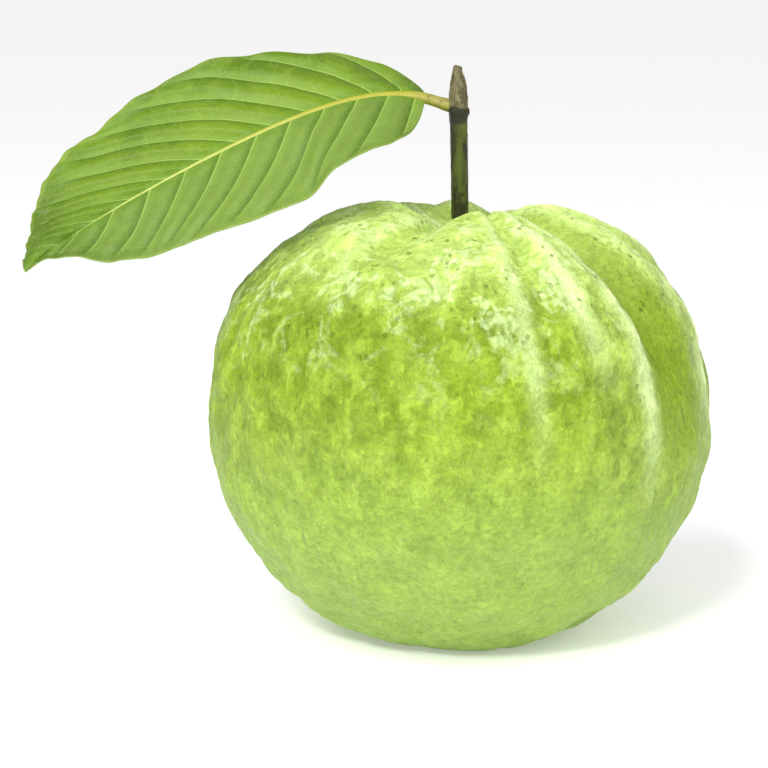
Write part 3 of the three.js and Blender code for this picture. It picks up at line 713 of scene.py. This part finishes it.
def leafRelief(tree, flatPlace, fromVein, vein, net, fineNet, inside, under):
    rise = times(tree, noiseMap(tree, flatPlace, leafPaint["dentSize"], 3, 0.5, 0.0, 5), 0.5)
    rise = reckon(tree, "SUBTRACT", rise, times(tree, net, 0.3))
    rise = reckon(tree, "SUBTRACT", rise, times(tree, fineNet, 0.15))
    rise = reckon(tree, "ADD", rise, times(tree, vein, spread(tree, under, 0, 1, -0.5, 1.4)))
    # the upper face sinks toward its side veins, and the lower face swells there
    nearVein = reckon(tree, "ADD", between(tree, fromVein, -0.5, -0.12), between(tree, fromVein, 0.5, 0.16))
    nearVein = times(tree, nearVein, inside)
    return reckon(tree, "ADD", rise, times(tree, nearVein, spread(tree, under, 0, 1, -3.2, 3.2)))


def leafMaterial():
    material, tree, shader = startMaterial("guavaLeaf")
    place = objectPlace(tree)
    phase, across, width = mark(tree, "veinPhase"), mark(tree, "acrossShare"), mark(tree, "acrossWidth")
    under, lengthway = mark(tree, "underSide"), mark(tree, "alongLength")
    flatPlace = put(tree, "ShaderNodeCombineXYZ", {"X": lengthway, "Y": width}).outputs[0]
    fromVein = reckon(tree, "SUBTRACT", phase, reckon(tree, "ROUND", phase))  # -0.5 to 0.5, 0 on a vein
    vein = veinLines(tree, fromVein, across)
    inside = between(tree, across, 1.0, 0.86)
    net = cellMap(tree, flatPlace, leafPaint["netSize"], "DISTANCE_TO_EDGE")
    net = between(tree, net, 0.05, 0.01)
    fineNet = cellMap(tree, flatPlace, leafPaint["fineNetSize"], "DISTANCE_TO_EDGE")
    fineNet = between(tree, fineNet, 0.10, 0.02)
    blotch = between(tree, noiseMap(tree, flatPlace, leafPaint["blotchSize"], 4, 0.6, 0.4, 12), 0.42, 0.70)
    blade = twoHalves(tree, place, width, lengthway)
    blade = tint(tree, blade, leafPaint["blotch"], blotch, leafPaint["blotchShare"])
    blade = panelTints(tree, blade, fromVein, across, width, lengthway, inside)
    blade = tint(tree, blade, leafPaint["fineNet"], fineNet, leafPaint["fineNetShare"])
    blade = tint(tree, blade, leafPaint["net"], net, leafPaint["netShare"])
    blade = tint(tree, blade, leafPaint["vein"], vein, leafPaint["veinShare"])
    dull = blendColour(tree, leafPaint["underShare"], blade, colour(*leafPaint["under"]))
    dull = tint(tree, dull, leafPaint["underVein"], vein, leafPaint["underVeinShare"])
    blade = blendColour(tree, under, blade, dull)
    margin = between(tree, across, 0.975, 1.0)
    blade = tint(tree, blade, leafPaint["margin"], margin, leafPaint["marginShare"])
    tree.links.new(blade, shader.inputs["Base Color"])
    rough = spread(tree, blotch, 0, 1, *leafPaint["rough"])
    rough = reckon(tree, "ADD", rough, times(tree, under, leafPaint["underRougher"]))
    tree.links.new(rough, shader.inputs["Roughness"])
    setShader(shader, Subsurface_Weight=0.10, Subsurface_Radius=(0.8, 1.0, 0.3), Subsurface_Scale=0.0006)
    setShader(shader, Specular_IOR_Level=leafPaint["gloss"])
    rise = leafRelief(tree, flatPlace, fromVein, vein, net, fineNet, inside, under)
    finishBump(tree, shader, rise, leafPaint["reliefDepth"], 0.8)
    return material


def makeBlade():
    t = np.linspace(0, 1, leaf["rows"])[:, None]
    v = np.linspace(0, 1, leaf["halfColumns"]) ** 1.15
    sheets = []
    for face in (1, -1):  # the upper face, then the lower one
        front = bladeAt(t, v[None, ::-1], True, face)
        back = bladeAt(t, v[None, 1:], False, face)
        joined = [np.concatenate([f, b], 1) for f, b in zip(front, back)]
        share = np.broadcast_to(np.concatenate([v[::-1], v[1:]])[None, :], joined[1].shape)
        sheets.append(joined + [share, np.full(share.shape, float(face < 0))])
    rows, columns = sheets[0][1].shape
    count = rows * columns
    points = np.concatenate([sheet[0].reshape(-1, 3) for sheet in sheets])
    points[:, 0] += fruit["axisX"]
    faces = quadGrid(rows, columns, False)
    faces += [face[::-1] for face in quadGrid(rows, columns, False, count)]
    edge = [r * columns for r in range(rows)]
    edge += [(rows - 1) * columns + c for c in range(1, columns)]
    edge += [r * columns + columns - 1 for r in range(rows - 2, -1, -1)]
    edge += [c for c in range(columns - 2, 0, -1)]
    for k, a in enumerate(edge):
        b = edge[(k + 1) % len(edge)]
        faces.append((a, b, b + count, a + count))

    def gather(k, scale=1.0):  # one mark of both sheets
        return np.concatenate([sheet[k].reshape(-1) for sheet in sheets]) * scale

    marks = {
        "veinPhase": gather(1), "alongLength": gather(2, mm), "acrossWidth": gather(3, mm),
        "acrossShare": gather(4), "underSide": gather(5),
    }
    addPiece("guavaLeafBlade", points, faces, leafMaterial(), ["leaf"], marks)


# The stalk and the midrib, one tapering rod

midrib = {
    "rows": 260, "sides": 20, "stopsShort": 1.2,
    "footIn": 0.95, "footLength": 0.4,  # its foot runs into the twig
    "meetsBlade": (-1.5, 6.5),  # from the stalk's end
    # at the stalk, and how much less at the tip
    "wide": (0.86, 0.52), "high": (0.66, 0.42), "sink": (0.22, 0.12),
    "flare": 0.16, "flareLength": 1.1, "groove": 0.16, "grooveHalf": 26,
}
midribPaint = {
    "near": (166, 162, 44), "far": (176, 190, 88), "stalkLow": (116, 120, 26), "stalkTop": (156, 146, 76),
    "stain": (88, 84, 28), "mottle": (140, 146, 40),
    "stainSize": 1.6, "stainShare": 0.6, "mottleSize": 0.9, "mottleShare": 0.3,
    "rough": (0.42, 0.55), "grainSize": 0.5, "grainDepth": 0.08,
}


def midribMaterial():
    material, tree, shader = startMaterial("guavaMidrib")
    place = objectPlace(tree)
    lengthway, topSide = mark(tree, "alongLength"), mark(tree, "topSide")
    stalk = between(tree, lengthway, (leaf["stalk"] + 6) * mm, (leaf["stalk"] - 3) * mm)
    rib = twoTone(tree, between(tree, lengthway, 0.016, 0.06), midribPaint["near"], midribPaint["far"])
    stem = twoTone(tree, topSide, midribPaint["stalkLow"], midribPaint["stalkTop"])
    mixed = blendColour(tree, stalk, rib, stem)
    stain = between(tree, noiseMap(tree, place, midribPaint["stainSize"], 3, 0.6, 0.6, 19), 0.52, 0.62)
    mixed = tint(tree, mixed, midribPaint["stain"], times(tree, stain, stalk), midribPaint["stainShare"])
    mottle = between(tree, noiseMap(tree, place, midribPaint["mottleSize"], 4, 0.6), 0.35, 0.7)
    mixed = tint(tree, mixed, midribPaint["mottle"], mottle, midribPaint["mottleShare"])
    tree.links.new(mixed, shader.inputs["Base Color"])
    tree.links.new(spread(tree, mottle, 0, 1, *midribPaint["rough"]), shader.inputs["Roughness"])
    setShader(shader, Subsurface_Weight=0.12, Subsurface_Radius=(1.0, 1.0, 0.4), Subsurface_Scale=0.0008)
    grain = noiseMap(tree, place, midribPaint["grainSize"], 3, 0.6)
    finishBump(tree, shader, grain, midribPaint["grainDepth"], 0.6)
    return material


def makeMidrib():
    rows, sides = midrib["rows"], midrib["sides"]
    total = leaf["stalk"] + leaf["blade"]
    s = (np.linspace(0, 1, rows) ** 1.1 * (total - midrib["stopsShort"]))[:, None]
    angle = (-np.arange(sides) * 2 * math.pi / sides)[None, :]
    starts, ends = midrib["meetsBlade"]
    onBlade = smoothStep(leaf["stalk"] + starts, leaf["stalk"] + ends, s)
    share = np.clip((s - leaf["stalk"]) / leaf["blade"], 0, 1)
    stalkRadius = leaf["stalkRadius"] * (1 + midrib["flare"] * np.exp(-(s / midrib["flareLength"]) ** 2))

    def tapered(key, power):
        atStalk, lost = midrib[key]
        return atStalk - lost * share ** power

    wide = stalkRadius * (1 - onBlade) + tapered("wide", 0.9) * onBlade
    high = stalkRadius * 0.96 * (1 - onBlade) + tapered("high", 0.9) * onBlade
    sink = tapered("sink", 1) * onBlade
    footIn = np.where(s < midrib["footLength"], midrib["footIn"], 0.0) * (1 - s / midrib["footLength"])
    at = onLine(lineAt, s) - onLine(lineAlong, s) * footIn[..., None]
    across, normal = onLine(lineAcross, s), onLine(lineNormal, s)
    beside = (np.degrees(angle) + 270) / midrib["grooveHalf"]
    groove = midrib["groove"] * np.exp(-beside ** 2) * (1 - onBlade)
    up = high * np.sin(angle) * (1 - groove) - sink
    points = at + across * (wide * np.cos(angle))[..., None] + normal * up[..., None]
    flat = np.concatenate([points.reshape(-1, 3), [points[0].mean(0)], [points[-1].mean(0)]])
    flat[:, 0] += fruit["axisX"]
    faces = quadGrid(rows, sides)
    closeEnds(faces, sides, 0, (rows - 1) * sides, len(flat) - 2, len(flat) - 1)
    lengthway = np.append((s + 0 * angle).reshape(-1), [0, total]) * mm
    topSide = np.append(smoothStep(-0.1, 0.7, np.sin(angle) + 0 * s).reshape(-1), [0.5, 0.5])
    marks = {"alongLength": lengthway, "topSide": topSide}
    addPiece("guavaMidrib", flat, faces, midribMaterial(), ["leaf"], marks)


makeBlade()
makeMidrib()


# The dried calyx, under the fruit

calyx = {
    "sepals": 5, "reach": 7, "notch": 3.8, "thickness": 0.55, "gap": 0.25,
    "pitRadius": 2.4, "pitDepth": 0.9, "rimRadius": 3.1, "rimHalf": 0.7, "rimHigh": 0.5,
    "crumpleSize": 1.5, "crumple": 0.22, "curl": 0.35,
    "thinnest": 0.15, "lowest": 0.6,  # it stays clear of the table
    "rows": 34, "columns": 240,
}
calyxPaint = {
    "dark": (74, 54, 32), "light": (142, 116, 74), "tips": (54, 40, 26), "tipsShare": 0.5,
    "patchSize": 1.3, "rough": (0.75, 0.95), "grainSize": 0.45, "grainDepth": 0.14,
}


def calyxMaterial():
    material, tree, shader = startMaterial("driedCalyx")
    place = objectPlace(tree)
    shade = between(tree, noiseMap(tree, place, calyxPaint["patchSize"], 5, 0.65, 0.5), 0.3, 0.7)
    husk = twoTone(tree, shade, calyxPaint["dark"], calyxPaint["light"])
    husk = tint(tree, husk, calyxPaint["tips"], mark(tree, "tipShare"), calyxPaint["tipsShare"])
    tree.links.new(husk, shader.inputs["Base Color"])
    tree.links.new(spread(tree, shade, 0, 1, *calyxPaint["rough"]), shader.inputs["Roughness"])
    grain = noiseMap(tree, place, calyxPaint["grainSize"], 4, 0.65)
    finishBump(tree, shader, grain, calyxPaint["grainDepth"], 0.8)
    return material


def makeCalyx():
    azimuth = (np.arange(calyx["columns"]) * 360 / calyx["columns"])[None, :]
    share = (np.arange(1, calyx["rows"] + 1) / calyx["rows"])[:, None]
    lobe = np.abs(np.cos(np.radians(calyx["sepals"] * azimuth / 2)))
    wobble = 0.35 * np.sin(np.radians(7 * azimuth)) + 0.25 * np.sin(np.radians(11 * azimuth + 40))
    reach = calyx["notch"] + (calyx["reach"] - calyx["notch"]) * lobe ** 0.8 + wobble * lobe
    out = share * reach
    latitude = -np.degrees(np.arccos(np.clip(out / fruit["radius"], 0, 1)))
    rind = rindAt(latitude, azimuth + 0 * share, False)[0]
    pit = calyx["pitDepth"] * (1 - smoothStep(0, calyx["pitRadius"], out))
    # the dried flower's ring
    rim = calyx["rimHigh"] * np.exp(-((out - calyx["rimRadius"]) / calyx["rimHalf"]) ** 2)
    turn = np.radians(azimuth)

    def layer(z):
        return np.stack([out * np.sin(turn), -out * np.cos(turn), z], -1)

    flat = layer(0 * out + 3).reshape(-1, 3)
    crumple = calyx["crumple"] * lumpy(flat, calyx["crumpleSize"], 3, 6.6).reshape(out.shape)
    curl = calyx["curl"] * smoothStep(0.75, 1, share) * lobe
    upper = rind[..., 2] - calyx["gap"]
    lower = upper - calyx["thickness"] * (1 - 0.5 * share) + 0.6 * pit - rim + crumple - curl
    lower = np.maximum(np.minimum(lower, upper - calyx["thinnest"]), calyx["lowest"])
    rings = np.concatenate([layer(lower), layer(upper)[::-1]])
    bottom = [0, 0, float(lower[0].mean())]
    top = [0, 0, float(upper[0].mean())]
    points = np.concatenate([rings.reshape(-1, 3), [bottom], [top]])
    points[:, 0] += fruit["axisX"]
    columns = calyx["columns"]
    faces = quadGrid(len(rings), columns)
    closeEnds(faces, columns, 0, (len(rings) - 1) * columns, len(points) - 2, len(points) - 1)
    tip = smoothStep(0.7, 1, share) + 0 * azimuth
    marks = {"tipShare": np.concatenate([tip.reshape(-1), tip[::-1].reshape(-1), [0], [0]])}
    addPiece("driedCalyx", points, faces, calyxMaterial(), ["calyx"], marks)


makeCalyx()


# Floor, lights and camera

studio = {
    "floorSize": 14, "floorTone": 0.9, "floorGlow": 0.27,
    "surround": 0.40, "sunStrength": 1.68, "sunSoftness": 10, "sunHeight": 37, "sunTurn": 17,
    "panelsAimZ": 60,
    "lookX": 3.5, "lookZ": 50.1, "distance": 576, "elevation": 10, "lens": 135,
}
# name, place, size in metres and power of each soft panel
panels = [
    ("topPanel", (0.24, -0.56, 0.62), 0.6, 2.3),
    ("leftPanel", (-0.48, -0.30, 0.60), 0.3, 2.5),
    ("rightPanel", (0.56, -0.16, 0.44), 0.3, 0.75),
]


def makeFloor():
    half = studio["floorSize"] / 2
    mesh = bpy.data.meshes.new("floor")
    corners = [(-half, -half, 0), (half, -half, 0), (half, half, 0), (-half, half, 0)]
    mesh.from_pydata(corners, [], [(0, 1, 2, 3)])
    material, tree, shader = startMaterial("paleFloor")
    tone = studio["floorTone"]
    grain = noiseMap(tree, objectPlace(tree), 60, 2, 0.5)
    paper = blendColour(tree, grain, (tone, tone, tone, 1), (tone * 0.985, tone * 0.985, tone * 0.98, 1))
    tree.links.new(paper, shader.inputs["Base Color"])
    setShader(shader, Roughness=0.8, Specular_IOR_Level=0.2)
    setShader(shader, Emission_Color=(1, 1, 1, 1), Emission_Strength=studio["floorGlow"])
    mesh.materials.append(material)
    floor = bpy.data.objects.new("floor", mesh)
    bpy.context.scene.collection.objects.link(floor)


def addAreaLight(name, place, aim, size, power):
    lamp = bpy.data.lights.new(name, "AREA")
    lamp.shape = "DISK"
    lamp.size = size
    lamp.energy = power
    item = bpy.data.objects.new(name, lamp)
    item.location = place
    item.rotation_euler = (Vector(aim) - Vector(place)).to_track_quat("-Z", "Y").to_euler()
    bpy.context.scene.collection.objects.link(item)


def makeLights():
    world = bpy.data.worlds.new("paleSurround")
    bpy.context.scene.world = world
    world.use_nodes = True
    sky = world.node_tree.nodes["Background"]
    sky.inputs["Color"].default_value = (1, 1, 1, 1)
    sky.inputs["Strength"].default_value = studio["surround"]
    sun = bpy.data.lights.new("broadLight", "SUN")
    sun.energy = studio["sunStrength"]
    sun.angle = math.radians(studio["sunSoftness"])
    item = bpy.data.objects.new("broadLight", sun)
    height, turn = math.radians(studio["sunHeight"]), math.radians(studio["sunTurn"])
    ray = Vector((math.cos(height) * math.sin(turn), math.cos(height) * math.cos(turn), -math.sin(height)))
    item.rotation_euler = ray.to_track_quat("-Z", "Y").to_euler()
    bpy.context.scene.collection.objects.link(item)
    aim = (fruit["axisX"] * mm, 0, studio["panelsAimZ"] * mm)
    for name, place, size, power in panels:
        addAreaLight(name, place, aim, size, power)


def makeCamera():
    tilt = math.radians(studio["elevation"])
    aim = Vector((studio["lookX"] * mm, 0, studio["lookZ"] * mm))
    lens = bpy.data.cameras.new("viewer")
    lens.lens = studio["lens"]
    lens.sensor_width = 36
    lens.clip_start, lens.clip_end = 0.02, 40
    camera = bpy.data.objects.new("viewer", lens)
    camera.location = aim + Vector((0, -math.cos(tilt), math.sin(tilt))) * studio["distance"] * mm
    camera.rotation_euler = (aim - camera.location).to_track_quat("-Z", "Y").to_euler()
    bpy.context.scene.collection.objects.link(camera)
    bpy.context.scene.camera = camera


makeFloor()
makeLights()
makeCamera()
bpy.context.scene.view_settings.view_transform = "Standard"
print("floor, lights and camera set")

bpy.context.view_layer.update()
